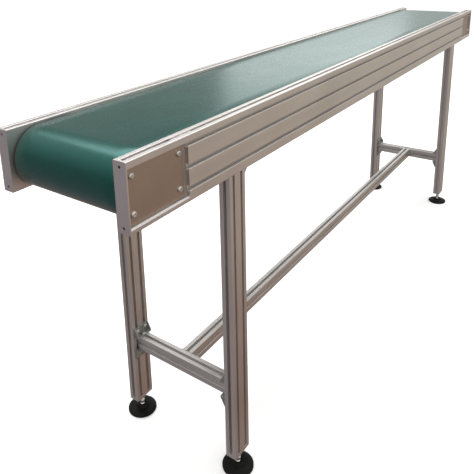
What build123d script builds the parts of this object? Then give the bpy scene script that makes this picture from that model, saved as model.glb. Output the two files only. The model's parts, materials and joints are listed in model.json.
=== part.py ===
from build123d import *
import os

# Belt conveyor section on an aluminium profile stand. Millimetres.
# X runs along the conveyor from the tail end (-X) to the drive end (+X), Y runs across it
# with the left side at +Y, and Z is up from the floor. The origin is on the floor, midway.

# Overall sizes
LENGTH = 2500
WIDTH = 360
HEIGHT = 937
RAIL_THICKNESS = 30
RAIL_HEIGHT = 135
RAIL_SLOTS_BELOW_TOP = (18, 64, 109)
RAIL_WALL = 10
END_BLOCK_LENGTH = 165

# Slotted aluminium profile, 30 mm module
MODULE = 30
SLOT_MOUTH = 8
SLOT_MOUTH_LEAD = 0.7
SLOT_LIP = 2.2
SLOT_ROOM = 13
SLOT_ROOM_DEPTH = 5.3
CORE_RADIUS = 3.4
PROFILE_CORNER = 1.5
CROSSBAR_HEIGHT = 40

# Belt, drums and the bed under the belt
BELT_WIDTH = 290
BELT_THICKNESS = 2
BELT_BELOW_RAIL_TOP = 5
BELT_GAP = 0.3
BELT_INNER_RADIUS = 65
DRUM_AXIS_FROM_END = 75
DRUM_WALL = 4.2
DRUM_LENGTH = 292
END_DISC_DEPTH = 22
END_DISC_BORE = 20
END_DISC_RECESS = (52, 34, 6)
BED_THICKNESS = 2
BED_LENGTH = 2180
BED_DEPTH = 27
BED_SCREW_PITCH = 400

# Drum bearings (25 x 52 x 15) and axles
AXLE_RADIUS = 12.5
AXLE_END_RADIUS = 10
AXLE_END_FLAT = 16
BEARING_RADIUS = 26
BEARING_WIDTH = 15
RUNNING_GAP = 0.03

# Cover plates in the end blocks, and the pocket behind them
COVER_THICKNESS = 2.5
COVER_RECESS = 10
COVER_BOTTOM = 813.5
COVER_TOP = 923.5
COVER_MARGIN = 3
COVER_BEFORE_SEAM = 7
COVER_SCREWS_FROM_END = (18, 144)
COVER_SCREW_LEVELS = (834, 906)
COVER_SCREW_DEPTH = 10
COVER_SCREW_HEAD_RADIUS = 6.2
COVER_SCREW_HEAD_HEIGHT = 3.8
COVER_LIP_BEVEL = 3
POCKET_FROM_END = (24, 131)
POCKET_HEIGHT = 60
POCKET_DEPTH = 16
END_SLOT_WALL = 5
END_HOLE_RADIUS = 3
END_HOLE_FROM_EDGE = 11
END_HOLE_DEPTH = 20
TAKEUP_TRAVEL = 15
TAKEUP_SCREW_RISE = 21
TAKEUP_SCREW_RADIUS = 4
TAKEUP_HEAD_HEIGHT = 5.5
TAKEUP_HALF_LENGTH = 22
AXLE_SLOT_MARGIN = 1

# Joining bars in the slots across each seam
JOINER_LENGTH = 60
JOINER_SCREW_FROM_SEAM = 15

# Motor and gear unit inside the drive drum: each stage's radius and its two ends along Y
MOTOR_STAGES = ((50, -96, 52), (43, 52, 98), (30, 98, 112))
MOTOR_RIB_PITCH = 16
MOTOR_RIB_GAP = 4
MOTOR_RIB_DEPTH = 3

# Return rollers
RETURN_ROLLER_RADIUS = 20
RETURN_ROLLER_WALL = 2.5
RETURN_ROLLER_LENGTH = 286
RETURN_ROLLER_X = 600
RETURN_ROLLER_Z = 823
RETURN_AXLE_RADIUS = 7.5
RETURN_BEARING_RADIUS = 17.45
RETURN_BEARING_WIDTH = 11
ROLLER_PLATE_THICKNESS = 3
ROLLER_PLATE_HALF_LENGTH = 36
ROLLER_PLATE_LEVELS = (807, 845)
ROLLER_SCREW_FROM_AXLE = 26

# Stand
FOOT_HEIGHT = 50
LEG_FROM_END = 330
END_PLATE_THICKNESS = 8
CROSSBAR_Z = 237
CROSS_MEMBER_X = (-900, 0, 900)
CROSS_MEMBER_CORE = 4.2
CROSS_MEMBER_BOLT = 3.9
CROSS_MEMBER_BOLT_LENGTH = 26

# Corner brackets and their M6 fasteners: reach and rise of the flanges, and their holes
SMALL_BRACKET_FLANGES = (18, 18)
SMALL_BRACKET_HOLES = (12.4, 12.4)
WIDE_BRACKET_FLANGES = (16, 27)
WIDE_BRACKET_HOLES = (10, 17)
WIDE_BRACKET_WIDTH = 50
BRACKET_WALL = 3.5
BRACKET_GUSSET = 2.5
M6_CLEARANCE_RADIUS = 3.2
M6_RADIUS = 2.95
M6_HEAD_RADIUS = 5.25
M6_HEAD_HEIGHT = 3.3
M6_HEX = 4

# Levelling feet
FOOT_BASE_RADIUS = 40
FOOT_HUB_RADIUS = 15
FOOT_HUB_HEIGHT = 18
STEM_RADIUS = 6
BALL_RADIUS = 8
BALL_Z = 13
BALL_GAP = 0.3
STEM_NECK_RADIUS = 4.5
STEM_HEX = 14
STEM_HEX_LEVELS = (23, 30)
STEM_TOP = 105
LOCK_NUT_HEX = 18
LOCK_NUT_HEIGHT = 9.9

# Derived places
RAIL_BOTTOM = HEIGHT - RAIL_HEIGHT
RAIL_MID_Z = HEIGHT - RAIL_HEIGHT / 2
RAIL_Y = (WIDTH - RAIL_THICKNESS) / 2
RAIL_INNER_Y = WIDTH / 2 - RAIL_THICKNESS
RAIL_SLOT_LEVELS = [HEIGHT - drop for drop in RAIL_SLOTS_BELOW_TOP]
BED_SLOT_Z, CROSS_MEMBER_Z, ROLLER_SLOT_Z = RAIL_SLOT_LEVELS
BELT_TOP = HEIGHT - BELT_BELOW_RAIL_TOP
DRUM_X = LENGTH / 2 - DRUM_AXIS_FROM_END
DRUM_Z = BELT_TOP - BELT_THICKNESS - BELT_INNER_RADIUS
DRUM_RADIUS = BELT_INNER_RADIUS - BELT_GAP
BED_TOP = BELT_TOP - BELT_THICKNESS - 0.2
LEG_X = LENGTH / 2 - LEG_FROM_END
LEG_BOTTOM = FOOT_HEIGHT + END_PLATE_THICKNESS
SLOT_DEPTH = SLOT_LIP + SLOT_ROOM_DEPTH
COVER_FACE_Y = WIDTH / 2 - COVER_RECESS
POCKET_INNER_Y = COVER_FACE_Y - POCKET_DEPTH
POCKET_MID_Y = COVER_FACE_Y - POCKET_DEPTH / 2
BEARING_Y = DRUM_LENGTH / 2 - BEARING_WIDTH / 2

ENDS = {"tail": -1, "drive": 1}
SIDES = {"left": 1, "right": -1}


def t_slot(x, y, turn):
    """Section of one T-slot with its mouth at (x, y), opening along +Y before the turn."""
    half = SLOT_MOUTH / 2
    lead = SLOT_MOUTH_LEAD
    mouth = make_face(
        Polyline(
            (-half - lead, 0.01), (half + lead, 0.01), (half, -lead),
            (half, -SLOT_LIP), (-half, -SLOT_LIP), (-half, -lead), close=True,
        )
    )
    room = Pos(0, -SLOT_LIP - SLOT_ROOM_DEPTH / 2) * Rectangle(SLOT_ROOM, SLOT_ROOM_DEPTH)
    return Pos(x, y) * Rot(0, 0, turn) * (mouth + room)


def profile_section(width, height, across=(), up=()):
    """Profile section with T-slots at x in across on both Y faces, at y in up on both X faces."""
    section = RectangleRounded(width, height, PROFILE_CORNER)
    for x in across:
        section -= t_slot(x, height / 2, 0)
        section -= t_slot(x, -height / 2, 180)
    for y in up:
        section -= t_slot(width / 2, y, -90)
        section -= t_slot(-width / 2, y, 90)
    return section


def along_x(section, x_from, x_to, y, z):
    """Extrude a section along X with its centre line at y, z."""
    start = Plane((x_from, y, z), x_dir=(0, 1, 0), z_dir=(1, 0, 0))
    return extrude(start * section, x_to - x_from)


def along_y(section, half, x, z):
    """Extrude a section along Y, half each way."""
    middle = Plane((x, 0, z), x_dir=(1, 0, 0), z_dir=(0, -1, 0))
    return extrude(middle * section, half, both=True)


def block(x_from, x_to, y_from, y_to, z_from, z_to):
    """A box between given faces."""
    size = (abs(x_to - x_from), abs(y_to - y_from), abs(z_to - z_from))
    centre = ((x_from + x_to) / 2, (y_from + y_to) / 2, (z_from + z_to) / 2)
    return Pos(*centre) * Box(*size)


def rod_y(radius, y_from, y_to, x, z):
    """A round rod along Y."""
    return Pos(x, (y_from + y_to) / 2, z) * Rot(90, 0, 0) * Cylinder(radius, abs(y_to - y_from))


def rod_x(radius, x_from, x_to, y, z):
    """A round rod along X."""
    return Pos((x_from + x_to) / 2, y, z) * Rot(0, 90, 0) * Cylinder(radius, abs(x_to - x_from))


def ring_y(outer, inner, y_from, y_to, x, z):
    """A round ring or tube along Y."""
    return rod_y(outer, y_from, y_to, x, z) - rod_y(inner, y_from, y_to, x, z)


def at_corner(shape, end, side):
    """Take a shape drawn at the tail end on the right side to the named end and side."""
    if end == "drive":
        shape = mirror(shape, about=Plane.YZ)
    if side == "left":
        shape = mirror(shape, about=Plane.XZ)
    return shape


def at_corners(shape):
    """The shape at all four corners, drawn at the tail end on the right side."""
    return [at_corner(shape, end, side) for end in ENDS for side in SIDES]


def rail_section():
    """Side rail: slots in the top, the bottom and three levels on both faces, and two chambers."""
    levels = [z - RAIL_MID_Z for z in RAIL_SLOT_LEVELS]
    section = profile_section(RAIL_THICKNESS, RAIL_HEIGHT, across=(0,), up=levels)
    for upper, lower in zip(levels, levels[1:]):
        room = upper - lower - SLOT_ROOM - 4
        chamber = RectangleRounded(RAIL_THICKNESS - 2 * RAIL_WALL, room, 1)
        section -= Pos(0, (upper + lower) / 2) * chamber
    return section


def side_rail(side):
    half = LENGTH / 2 - END_BLOCK_LENGTH
    return along_x(rail_section(), -half, half, SIDES[side] * RAIL_Y, RAIL_MID_Z)


def end_block():
    """Machined end block: slots top and bottom, a recess for the cover and a pocket behind it."""
    tip = -LENGTH / 2
    seam = tip + END_BLOCK_LENGTH
    outer = -WIDTH / 2
    section = profile_section(RAIL_THICKNESS, RAIL_HEIGHT, across=(0,))
    body = along_x(section, tip + END_SLOT_WALL, seam, -RAIL_Y, RAIL_MID_Z)
    end_wall = RectangleRounded(RAIL_THICKNESS, RAIL_HEIGHT, PROFILE_CORNER)
    body += along_x(end_wall, tip, tip + END_SLOT_WALL, -RAIL_Y, RAIL_MID_Z)
    for z in (HEIGHT - END_HOLE_FROM_EDGE, RAIL_BOTTOM + END_HOLE_FROM_EDGE):
        body -= rod_x(END_HOLE_RADIUS, tip, tip + END_HOLE_DEPTH, -RAIL_Y, z)
    body -= block(tip + COVER_MARGIN, seam, outer, -COVER_FACE_Y, COVER_BOTTOM, COVER_TOP)
    bevel = Polyline(
        (outer, COVER_BOTTOM - COVER_LIP_BEVEL), (outer, COVER_BOTTOM),
        (outer + COVER_LIP_BEVEL, COVER_BOTTOM), close=True,
    )
    start = Plane((tip + COVER_MARGIN, 0, 0), x_dir=(0, 1, 0), z_dir=(1, 0, 0))
    body -= extrude(start * make_face(bevel), END_BLOCK_LENGTH - COVER_MARGIN)
    near, far = POCKET_FROM_END
    half = POCKET_HEIGHT / 2
    body -= block(tip + near, tip + far, -COVER_FACE_Y, -POCKET_INNER_Y, DRUM_Z - half, DRUM_Z + half)
    reach = AXLE_RADIUS + AXLE_SLOT_MARGIN
    body -= block(
        -DRUM_X - reach, -DRUM_X + TAKEUP_TRAVEL + reach,
        -POCKET_INNER_Y, -RAIL_INNER_Y, DRUM_Z - reach, DRUM_Z + reach,
    )
    for x, z in cover_screw_places():
        body -= rod_y(M6_RADIUS + 0.05, -COVER_FACE_Y, -COVER_FACE_Y + COVER_SCREW_DEPTH + 2, x, z)
    return body


def cover_screw_places():
    """X and Z of the four cover screws at the tail end."""
    return [(-LENGTH / 2 + x, z) for x in COVER_SCREWS_FROM_END for z in COVER_SCREW_LEVELS]


def cover_plate():
    """Flat plate that lies in the recess of the end block."""
    gap = 0.5
    tip = -LENGTH / 2 + COVER_MARGIN + gap
    plate = block(
        tip, -LENGTH / 2 + END_BLOCK_LENGTH - COVER_BEFORE_SEAM,
        -COVER_FACE_Y - COVER_THICKNESS, -COVER_FACE_Y, COVER_BOTTOM + gap, COVER_TOP - gap,
    )
    for x, z in cover_screw_places():
        plate -= rod_y(M6_CLEARANCE_RADIUS, -COVER_FACE_Y - COVER_THICKNESS, -COVER_FACE_Y, x, z)
    return plate


def button_screw(shank_radius, length, head_radius, head_height, hex_size):
    """Round-head socket screw: the head stands on z = 0 and the shank runs down from there."""
    head = Cylinder(head_radius, head_height, align=(Align.CENTER, Align.CENTER, Align.MIN))
    head = fillet(head.edges().group_by(Axis.Z)[-1], head_height * 0.7)
    socket_depth = head_height * 0.6
    socket = extrude(RegularPolygon(hex_size / 2, 6, major_radius=False), socket_depth)
    head -= Pos(0, 0, head_height - socket_depth) * socket
    shank = Cylinder(shank_radius, length, align=(Align.CENTER, Align.CENTER, Align.MAX))
    return head + shank


def cover_plate_screws():
    length = COVER_THICKNESS + COVER_SCREW_DEPTH
    head = (COVER_SCREW_HEAD_RADIUS, COVER_SCREW_HEAD_HEIGHT)
    screw = button_screw(M6_RADIUS, length, *head, M6_HEX)
    out = []
    for x, z in cover_screw_places():
        seat = Plane((x, -COVER_FACE_Y - COVER_THICKNESS, z), x_dir=(1, 0, 0), z_dir=(0, -1, 0))
        out += at_corners(seat.location * screw)
    return out


def joiner_places():
    """Centres and directions of the joining bars: in the top and bottom slots at each seam."""
    seam = LENGTH / 2 - END_BLOCK_LENGTH
    depth = SLOT_LIP + SLOT_ROOM_DEPTH / 2
    levels = (HEIGHT - depth, RAIL_BOTTOM + depth)
    return [(sx * seam, sy * RAIL_Y, z) for sx in (-1, 1) for sy in (-1, 1) for z in levels]


def joiner_bars():
    bar = Box(JOINER_LENGTH, SLOT_ROOM - 0.4, SLOT_ROOM_DEPTH - 0.3)
    spots = (-JOINER_SCREW_FROM_SEAM, JOINER_SCREW_FROM_SEAM)
    bar -= [Pos(x, 0, 0) * Cylinder(M6_RADIUS + 0.05, SLOT_ROOM_DEPTH) for x in spots]
    return [Pos(*place) * bar for place in joiner_places()]


def joiner_grub_screws():
    screw = Cylinder(M6_RADIUS, SLOT_ROOM_DEPTH - 0.3)
    spots = (-JOINER_SCREW_FROM_SEAM, JOINER_SCREW_FROM_SEAM)
    return [Pos(x + dx, y, z) * screw for x, y, z in joiner_places() for dx in spots]


def belt_loop(offset):
    """Outline of the belt in the XZ plane, offset outwards from its inner face."""
    radius = BELT_INNER_RADIUS + offset
    top = DRUM_Z + radius
    bottom = DRUM_Z - radius
    # The lower run stays level under each drum as far as the take-up moves, then rises
    # to the return rollers, which lift it between the drums.
    level_end = DRUM_X - TAKEUP_TRAVEL - 5
    lifted = RETURN_ROLLER_Z + RETURN_ROLLER_RADIUS + BELT_GAP + BELT_THICKNESS - offset
    right = ThreePointArc((DRUM_X, top), (DRUM_X + radius, DRUM_Z), (DRUM_X, bottom))
    left = ThreePointArc((-DRUM_X, bottom), (-DRUM_X - radius, DRUM_Z), (-DRUM_X, top))
    under = Polyline(
        (DRUM_X, bottom), (level_end, bottom), (RETURN_ROLLER_X, lifted),
        (-RETURN_ROLLER_X, lifted), (-level_end, bottom), (-DRUM_X, bottom),
    )
    over = Line((-DRUM_X, top), (DRUM_X, top))
    return make_face(Wire([*right.edges(), *under.edges(), *left.edges(), *over.edges()]))


def belt():
    loop = belt_loop(BELT_THICKNESS) - belt_loop(0)
    return extrude(Plane.XZ * loop, BELT_WIDTH / 2, both=True)


def bed_screw_x():
    """X of the bed's side screws."""
    return [BED_SCREW_PITCH * (i - 2.5) for i in range(6)]


def slider_bed():
    """Steel sheet under the upper belt run, with a flange down each side."""
    half_width = RAIL_INNER_Y - 0.1
    half = BED_LENGTH / 2
    low = BED_TOP - BED_DEPTH
    inside = half_width - BED_THICKNESS
    bed = block(-half, half, -half_width, half_width, low, BED_TOP)
    bed -= block(-half, half, -inside, inside, low, BED_TOP - BED_THICKNESS)
    for x in bed_screw_x():
        bed -= rod_y(M6_CLEARANCE_RADIUS, -half_width, half_width, x, BED_SLOT_Z)
    return bed


def cross_member(x):
    section = profile_section(MODULE, MODULE, across=(0,), up=(0,)) - Circle(CROSS_MEMBER_CORE)
    return along_y(section, RAIL_INNER_Y - 0.1, x, CROSS_MEMBER_Z)


def cross_member_bolts():
    """T-head bolts that hold the cross members in the inner slots of the rails."""
    bolts = []
    head_from = RAIL_INNER_Y + SLOT_LIP + 0.1
    head_to = RAIL_INNER_Y + SLOT_DEPTH - 0.1
    for x in CROSS_MEMBER_X:
        head = block(x - 9, x + 9, head_from, head_to, CROSS_MEMBER_Z - 6.2, CROSS_MEMBER_Z + 6.2)
        tip = RAIL_INNER_Y - CROSS_MEMBER_BOLT_LENGTH
        bolt = head + rod_y(CROSS_MEMBER_BOLT, head_to - 1, tip, x, CROSS_MEMBER_Z)
        bolts += [bolt, mirror(bolt, about=Plane.XZ)]
    return bolts


def drum_bearings(x):
    """Two deep-groove bearings, each as one ring with a groove in each side face."""
    rings = []
    for sy in (-1, 1):
        y = sy * BEARING_Y
        half = BEARING_WIDTH / 2 - 0.1
        ring = ring_y(BEARING_RADIUS, AXLE_RADIUS + 0.02, y - half, y + half, x, DRUM_Z)
        for face in (-half, half - 1):
            ring -= ring_y(BEARING_RADIUS - 4, AXLE_RADIUS + 4, y + face, y + face + 1, x, DRUM_Z)
        rings.append(ring)
    return rings


def drum_end_disc(sy, x):
    """End disc of a drum with the seat for its bearing."""
    rim = DRUM_LENGTH / 2
    back = rim - END_DISC_DEPTH
    disc = rod_y(DRUM_RADIUS - DRUM_WALL, sy * back, sy * rim, x, DRUM_Z)
    disc -= rod_y(BEARING_RADIUS + RUNNING_GAP, sy * (rim - BEARING_WIDTH), sy * rim, x, DRUM_Z)
    disc -= rod_y(END_DISC_BORE, sy * back, sy * rim, x, DRUM_Z)
    outer, inner, depth = END_DISC_RECESS
    return disc - ring_y(outer, inner, sy * (rim - depth), sy * rim, x, DRUM_Z)


def drum_tube(x):
    half = DRUM_LENGTH / 2
    return ring_y(DRUM_RADIUS, DRUM_RADIUS - DRUM_WALL, -half, half, x, DRUM_Z)


def tail_drum():
    """Idle drum: a tube with both end discs welded in."""
    return drum_tube(-DRUM_X) + drum_end_disc(-1, -DRUM_X) + drum_end_disc(1, -DRUM_X)


def drum_axle(x):
    """Round axle with two flats at each end."""
    shoulder = POCKET_INNER_Y - 0.3
    axle = rod_y(AXLE_RADIUS, -shoulder, shoulder, x, DRUM_Z)
    reach = COVER_FACE_Y - 1
    half_flat = AXLE_END_FLAT / 2
    ends = rod_y(AXLE_END_RADIUS, -reach, reach, x, DRUM_Z)
    ends &= block(x - 20, x + 20, -reach, reach, DRUM_Z - half_flat, DRUM_Z + half_flat)
    return axle + ends


def holder_block(x_from, x_to):
    """Block in the pocket of an end block, with a hole that holds the flats of the axle."""
    gap = 0.1
    half = POCKET_HEIGHT / 2 - gap
    outer = COVER_FACE_Y - 0.25
    inner = POCKET_INNER_Y + 0.25
    body = block(x_from, x_to, -outer, -inner, DRUM_Z - half, DRUM_Z + half)
    hole = rod_y(AXLE_END_RADIUS + gap, -outer, -inner, -DRUM_X, DRUM_Z)
    flat = AXLE_END_FLAT / 2 + gap
    hole &= block(-DRUM_X - 20, -DRUM_X + 20, -outer, -inner, DRUM_Z - flat, DRUM_Z + flat)
    return body - hole


def takeup_block():
    """Sliding block that carries the tail axle, tapped for its take-up screw."""
    near = -DRUM_X - TAKEUP_HALF_LENGTH
    far = -DRUM_X + TAKEUP_HALF_LENGTH
    level = DRUM_Z + TAKEUP_SCREW_RISE
    return holder_block(near, far) - rod_x(TAKEUP_SCREW_RADIUS, near, far, -POCKET_MID_Y, level)


def takeup_screw():
    """Hexagon-head screw along X; its head bears on the inner wall of the pocket."""
    wall = -LENGTH / 2 + POCKET_FROM_END[1] - 0.1
    under_head = wall - TAKEUP_HEAD_HEIGHT
    tip = -DRUM_X - TAKEUP_HALF_LENGTH - 3
    level = DRUM_Z + TAKEUP_SCREW_RISE
    shank = rod_x(TAKEUP_SCREW_RADIUS - 0.05, tip, under_head, -POCKET_MID_Y, level)
    hexagon = RegularPolygon(6.5, 6, major_radius=False)
    return shank + along_x(hexagon, under_head, wall, -POCKET_MID_Y, level)


def holder_screw_places():
    """X and Z of the two screws of a shaft holder, drawn at the tail end."""
    return [(-DRUM_X + dx, DRUM_Z + dz) for dx, dz in ((38, -20), (38, 20), (-33, -20), (-33, 20))]


def shaft_holder():
    """Fixed block that fills the pocket and holds the drive shaft, with counterbored screws."""
    near, far = POCKET_FROM_END
    body = holder_block(-LENGTH / 2 + near + 0.1, -LENGTH / 2 + far - 0.1)
    outer = -COVER_FACE_Y + 0.25
    for x, z in holder_screw_places():
        body -= rod_y(5.3, outer, outer + 5, x, z)
        body -= rod_y(M6_CLEARANCE_RADIUS, outer, -POCKET_INNER_Y, x, z)
    return body


def shaft_holder_screws():
    """Socket screws in the counterbores of the shaft holders; they end at the pocket floor."""
    floor = -COVER_FACE_Y + 5.25
    screw = button_screw(M6_RADIUS, POCKET_DEPTH - 5.5, 5, 4.5, M6_HEX)
    out = []
    for x, z in holder_screw_places():
        seat = Plane((x, floor, z), x_dir=(1, 0, 0), z_dir=(0, -1, 0))
        out += [at_corner(seat.location * screw, "drive", side) for side in SIDES]
    return out


def drive_motor_unit():
    """Motor and gear unit that sits still on the drive shaft inside the drum shell."""
    stages = [rod_y(radius, near, far, DRUM_X, DRUM_Z) for radius, near, far in MOTOR_STAGES]
    unit = stages[0] + stages[1:]
    radius, near, far = MOTOR_STAGES[0]
    ribs_from = near + MOTOR_RIB_PITCH - MOTOR_RIB_GAP
    for y in range(ribs_from, far - MOTOR_RIB_PITCH // 2, MOTOR_RIB_PITCH):
        unit -= ring_y(radius + 1, radius - MOTOR_RIB_DEPTH, y, y + MOTOR_RIB_GAP, DRUM_X, DRUM_Z)
    return unit - rod_y(AXLE_RADIUS + 0.02, near, MOTOR_STAGES[-1][2], DRUM_X, DRUM_Z)


def return_roller(x):
    half = RETURN_ROLLER_LENGTH / 2
    inner = RETURN_ROLLER_RADIUS - RETURN_ROLLER_WALL
    return ring_y(RETURN_ROLLER_RADIUS, inner, -half, half, x, RETURN_ROLLER_Z)


def return_roller_bearings():
    rings = []
    for x in (-RETURN_ROLLER_X, RETURN_ROLLER_X):
        for sy in (-1, 1):
            outer = sy * (RETURN_ROLLER_LENGTH / 2 - 1)
            inner = outer - sy * RETURN_BEARING_WIDTH
            bore = RETURN_AXLE_RADIUS + 0.02
            rings.append(ring_y(RETURN_BEARING_RADIUS, bore, inner, outer, x, RETURN_ROLLER_Z))
    return rings


def return_roller_axle(x):
    reach = RAIL_INNER_Y - 0.3
    return rod_y(RETURN_AXLE_RADIUS, -reach, reach, x, RETURN_ROLLER_Z)


def roller_bracket_screw_x():
    """X of the screws beside each end of the return roller axles."""
    spots = (-ROLLER_SCREW_FROM_AXLE, ROLLER_SCREW_FROM_AXLE)
    return [x + dx for x in (-RETURN_ROLLER_X, RETURN_ROLLER_X) for dx in spots]


def return_roller_brackets():
    """Flat plates on the inner faces of the rails that hold the ends of the roller axles."""
    plates = []
    face = RAIL_INNER_Y - 0.1
    back = face - ROLLER_PLATE_THICKNESS
    half = ROLLER_PLATE_HALF_LENGTH
    for x in (-RETURN_ROLLER_X, RETURN_ROLLER_X):
        plate = block(x - half, x + half, back, face, *ROLLER_PLATE_LEVELS)
        plate = fillet(plate.edges().filter_by(Axis.Y), 6)
        plate -= rod_y(RETURN_AXLE_RADIUS + 0.1, back, face, x, RETURN_ROLLER_Z)
        for dx in (-ROLLER_SCREW_FROM_AXLE, ROLLER_SCREW_FROM_AXLE):
            plate -= rod_y(M6_CLEARANCE_RADIUS, back, face, x + dx, ROLLER_SLOT_Z)
        plates += [plate, mirror(plate, about=Plane.XZ)]
    return plates


def m6_screw(grip):
    """M6 round-head screw that clamps a part of thickness grip to a T-slot."""
    return button_screw(M6_RADIUS, grip + SLOT_DEPTH - 0.2, M6_HEAD_RADIUS, M6_HEAD_HEIGHT, M6_HEX)


def t_nut():
    """Slot nut under the lips; the slot runs along X and the profile face is z = 0."""
    top = -SLOT_LIP - 0.1
    body = block(-6, 6, -SLOT_ROOM / 2 + 0.3, SLOT_ROOM / 2 - 0.3, top - 4.5, top)
    neck = block(-6, 6, -SLOT_MOUTH / 2 + 0.3, SLOT_MOUTH / 2 - 0.3, top, top + 1.6)
    return body + neck - Cylinder(3, 4 * SLOT_DEPTH)


def rail_inner_seats():
    """Clamping thickness and seat plane of each screw in the rails' inner slots."""
    seats = []
    for side in SIDES.values():
        face = side * RAIL_INNER_Y
        for x in bed_screw_x():
            grip = BED_THICKNESS + 0.1
            seats.append((grip, Plane((x, face, BED_SLOT_Z), (1, 0, 0), (0, -side, 0))))
        for x in roller_bracket_screw_x():
            grip = ROLLER_PLATE_THICKNESS + 0.1
            seats.append((grip, Plane((x, face, ROLLER_SLOT_Z), (1, 0, 0), (0, -side, 0))))
    return seats


def screws_at(seats):
    return [seat.location * Pos(0, 0, grip) * m6_screw(grip) for grip, seat in seats]


def nuts_at(seats):
    return [seat.location * t_nut() for _, seat in seats]


def corner_bracket(flanges, width, holes, rise_hole_y):
    """Die-cast bracket: flanges on the planes z = 0 and x = 0, and a gusset at each side."""
    reach, rise = flanges
    wall = BRACKET_WALL
    half = width / 2
    body = block(0, reach, -half, half, 0, wall) + block(0, wall, -half, half, 0, rise)
    gusset_edge = Polyline((0, 0), (reach, 0), (reach, wall), (wall, rise), (0, rise), close=True)
    gusset = extrude(Plane.XZ * make_face(gusset_edge), BRACKET_GUSSET)
    body += [Pos(0, y, 0) * gusset for y in (-half + BRACKET_GUSSET, half)]
    hole = Cylinder(M6_CLEARANCE_RADIUS, 4 * wall)
    hole_x, hole_z = holes
    body -= Pos(hole_x, 0, 0) * hole
    for y in rise_hole_y:
        body -= Pos(0, y, hole_z) * Rot(0, 90, 0) * hole
    return body


def small_brackets():
    width = SMALL_BRACKET_FLANGES[0]
    bracket = corner_bracket(SMALL_BRACKET_FLANGES, width, SMALL_BRACKET_HOLES, (0,))
    return [plane.location * bracket for plane in small_bracket_planes()]


def wide_brackets():
    hole_y = (-MODULE / 2, MODULE / 2)
    bracket = corner_bracket(WIDE_BRACKET_FLANGES, WIDE_BRACKET_WIDTH, WIDE_BRACKET_HOLES, hole_y)
    return [plane.location * bracket for plane in wide_bracket_planes()]


def small_bracket_planes():
    """Planes of the small brackets: local x lies along one face and local z along the other."""
    planes = []
    for sx in ENDS.values():
        for sy in SIDES.values():
            under_rail = (sx * LEG_X + MODULE, sy * RAIL_Y, RAIL_BOTTOM)
            planes.append(Plane(under_rail, (1, 0, 0), (0, 0, -1)))
            beside_stringer = (sx * (LEG_X - MODULE / 2), sy * MODULE / 2, CROSSBAR_Z)
            planes.append(Plane(beside_stringer, (-sx, 0, 0), (0, sy, 0)))
    return planes


def wide_bracket_planes():
    """Planes of the wide brackets above and below each end of the crossbars."""
    planes = []
    for sx in ENDS.values():
        for sy in SIDES.values():
            for up in (-1, 1):
                corner = (sx * LEG_X, sy * RAIL_INNER_Y, CROSSBAR_Z + up * CROSSBAR_HEIGHT / 2)
                planes.append(Plane(corner, (0, -sy, 0), (0, 0, up)))
    return planes


def bracket_seats():
    """Clamping thickness and seat plane of every screw of the corner brackets."""
    seats = []
    kinds = [(plane, SMALL_BRACKET_HOLES, (0,)) for plane in small_bracket_planes()]
    wide_hole_y = (-MODULE / 2, MODULE / 2)
    kinds += [(plane, WIDE_BRACKET_HOLES, wide_hole_y) for plane in wide_bracket_planes()]
    for plane, (hole_x, hole_z), rise_hole_y in kinds:
        spot = plane.from_local_coords((hole_x, 0, 0))
        seats.append((BRACKET_WALL, Plane(spot, plane.x_dir, plane.z_dir)))
        for y in rise_hole_y:
            spot = plane.from_local_coords((0, y, hole_z))
            seats.append((BRACKET_WALL, Plane(spot, plane.z_dir, plane.x_dir)))
    return seats


def leg(end, side):
    """30 x 60 profile leg: two slots in each wide face, one in each narrow face."""
    cores = (-MODULE / 2, MODULE / 2)
    section = profile_section(2 * MODULE, MODULE, across=cores, up=(0,))
    section -= [Pos(x, 0) * Circle(CORE_RADIUS) for x in cores]
    section -= RectangleRounded(14, 22, 1)
    place = Pos(ENDS[end] * LEG_X, SIDES[side] * RAIL_Y, LEG_BOTTOM)
    return place * extrude(section, RAIL_BOTTOM - LEG_BOTTOM)


def leg_places():
    return [(sx * LEG_X, sy * RAIL_Y) for sx in ENDS.values() for sy in SIDES.values()]


def leg_end_plates():
    """Threaded plates that close the lower ends of the legs."""
    plate = extrude(RectangleRounded(2 * MODULE, MODULE, PROFILE_CORNER), END_PLATE_THICKNESS)
    plate -= Cylinder(STEM_RADIUS + 0.05, 4 * END_PLATE_THICKNESS)
    for x in (-MODULE / 2, MODULE / 2):
        sink = Cone(6, 3.4, 3.5, align=(Align.CENTER, Align.CENTER, Align.MIN))
        plate -= Pos(x, 0, 0) * (sink + Cylinder(3.4, 4 * END_PLATE_THICKNESS))
    return [Pos(x, y, FOOT_HEIGHT) * plate for x, y in leg_places()]


def leg_end_plate_screws():
    """Countersunk screws from below into the cores of the legs."""
    base = (Align.CENTER, Align.CENTER, Align.MIN)
    screw = Cone(5.8, 3.2, 3.4, align=base) + Cylinder(3.2, END_PLATE_THICKNESS + 22, align=base)
    screw -= extrude(RegularPolygon(2, 6, major_radius=False), 2.2)
    shifts = (-MODULE / 2, MODULE / 2)
    return [Pos(x + dx, y, FOOT_HEIGHT) * screw for x, y in leg_places() for dx in shifts]


def crossbar(end):
    section = profile_section(MODULE, CROSSBAR_HEIGHT, across=(0,), up=(0,)) - Circle(CORE_RADIUS)
    return along_y(section, RAIL_INNER_Y, ENDS[end] * LEG_X, CROSSBAR_Z)


def stringer():
    section = profile_section(MODULE, CROSSBAR_HEIGHT, across=(0,), up=(0,)) - Circle(CORE_RADIUS)
    reach = LEG_X - MODULE / 2
    return along_x(section, -reach, reach, 0, CROSSBAR_Z)


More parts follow.
